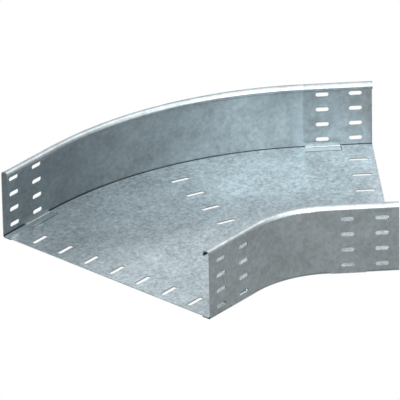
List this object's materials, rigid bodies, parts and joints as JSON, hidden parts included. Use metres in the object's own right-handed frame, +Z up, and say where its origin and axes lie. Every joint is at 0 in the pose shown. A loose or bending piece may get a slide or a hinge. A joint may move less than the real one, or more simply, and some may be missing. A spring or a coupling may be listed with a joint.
{
  "type": "cable tray bend",
  "caption": "Horizontal bend for a cable tray: a slotted base plate locked by pressed tongues to curved side walls with rolled lips and slotted ends.",
  "frame": {"origin": "middle of the first end's face, at the level of the underside", "axes": "+X along the run of the first end into the bend, +Y towards the outer side wall, +Z up out of the open top"},
  "size_m": [0.5673, 0.5178, 0.1115],
  "materials": {
    "galvanised_sheet": "strip-galvanised sheet steel, semi-gloss zinc with faint spangle"
  },
  "bodies": {
    "root": {"base_plate": "galvanised_sheet", "outer_side_wall": "galvanised_sheet", "inner_side_wall": "galvanised_sheet"}
  },
  "joints": []
}
